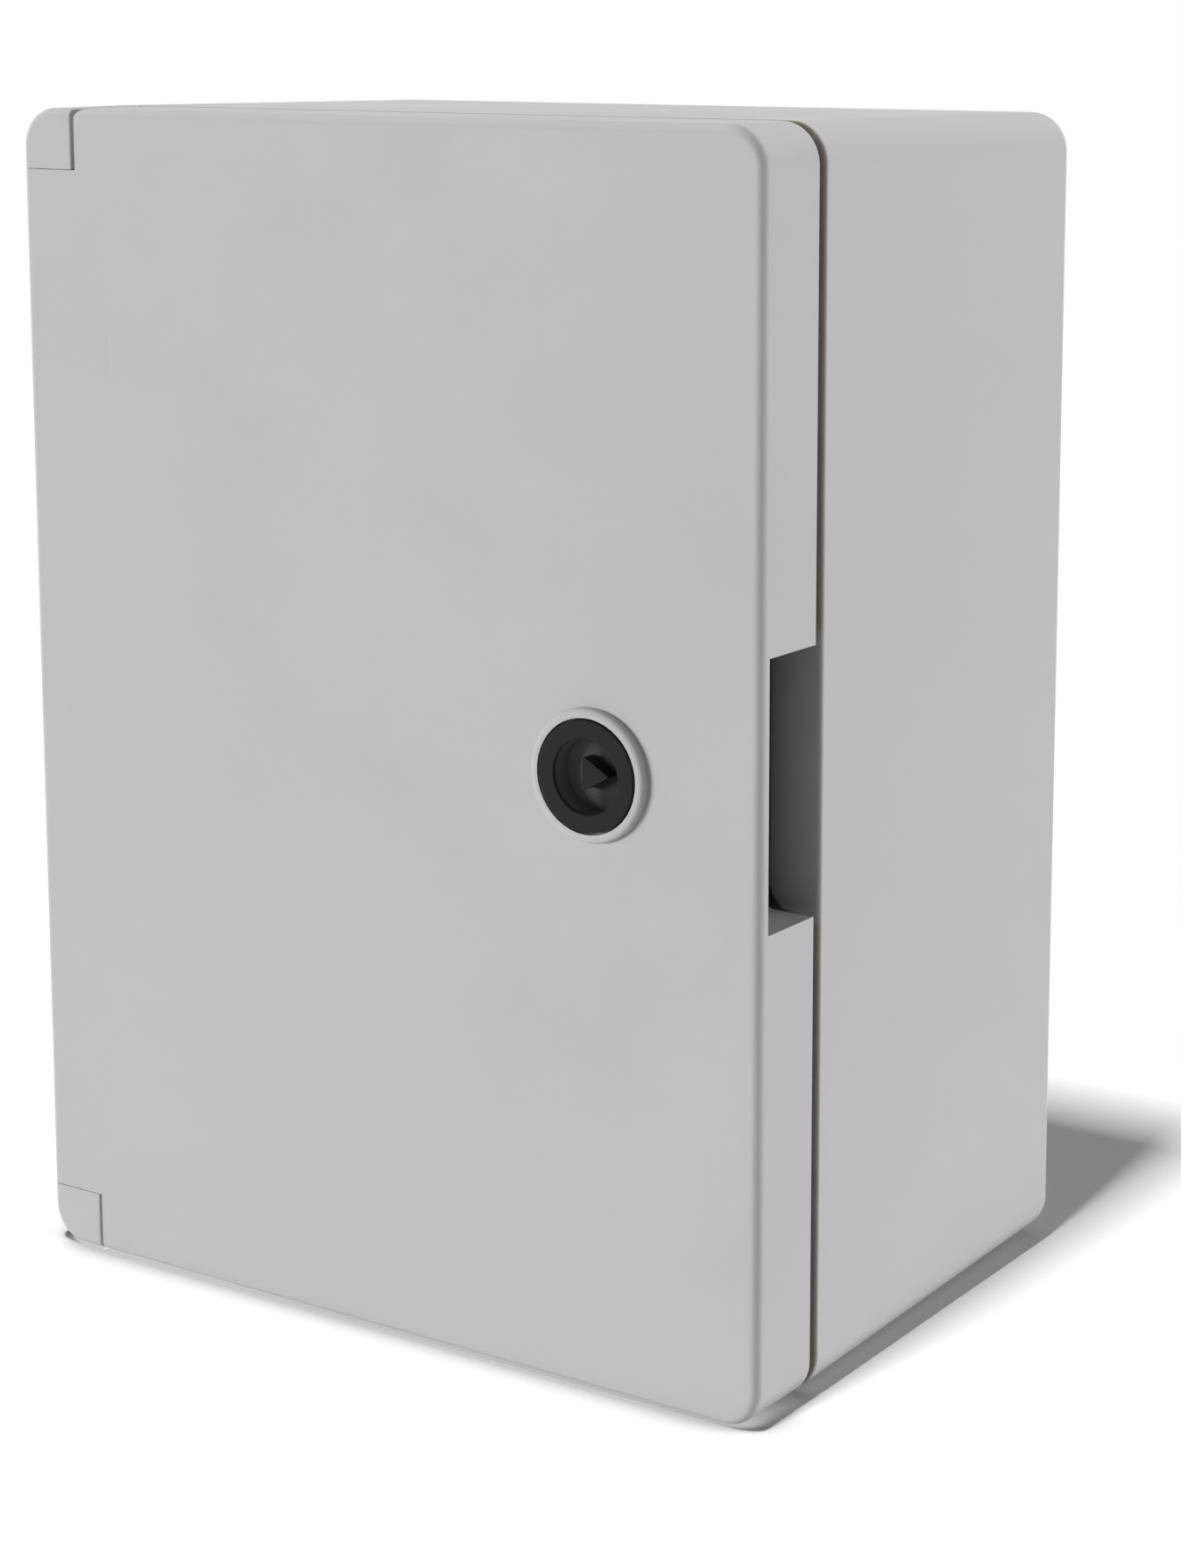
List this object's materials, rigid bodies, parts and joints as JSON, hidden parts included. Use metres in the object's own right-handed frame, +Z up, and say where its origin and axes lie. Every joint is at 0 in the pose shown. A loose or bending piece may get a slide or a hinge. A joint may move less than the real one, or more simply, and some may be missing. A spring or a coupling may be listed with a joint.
{
  "type": "plastic electrical enclosure",
  "caption": "Light grey plastic wall enclosure with a full-front hinged door, foam seal, finger pocket, key latch and a steel mounting plate inside.",
  "frame": {"origin": "on the surface it stands on, below the middle of its bounding box", "axes": "+Z up, +X to the right seen from the front, the door faces -Y and the wall side faces +Y"},
  "size_m": [0.295, 0.2032, 0.4],
  "materials": {
    "case_plastic": "smooth satin moulded surface",
    "black_plastic": "satin moulded surface",
    "seal_foam": "closed-cell foam skin",
    "black_rubber": "matt",
    "zinc_steel": "bright zinc plating",
    "galvanised_sheet": "galvanised with fine spangle",
    "brass": "turned"
  },
  "bodies": {
    "enclosure": {"body_shell": "case_plastic", "upper_hinge_block": "case_plastic", "lower_hinge_block": "case_plastic", "hinge_block_screws": "zinc_steel", "mounting_plate": "galvanised_sheet", "plate_inserts": "brass", "plate_washers": "zinc_steel", "plate_screws": "zinc_steel"},
    "door": {"door_shell": "case_plastic", "door_gasket": "seal_foam", "upper_hinge_pin": "zinc_steel", "lower_hinge_pin": "zinc_steel", "latch_housing": "black_plastic", "latch_seal": "black_rubber", "latch_nut": "black_plastic"},
    "latch": {"latch_barrel": "black_plastic", "barrel_o_ring": "black_rubber", "latch_cam": "zinc_steel", "cam_washer": "zinc_steel", "cam_screw": "zinc_steel"}
  },
  "joints": [
    {"name": "door_hinge", "type": "hinge", "parent": "enclosure", "child": "door", "pos_m": [-0.14, -0.09335, 0.2002], "axis": [0, 0, -1], "range_deg": [0, 180]},
    {"name": "latch_turn", "type": "hinge", "parent": "door", "child": "latch", "pos_m": [0.08604, -0.09835, 0.2002], "axis": [0, -1, 0], "range_deg": [0, 90]}
  ]
}
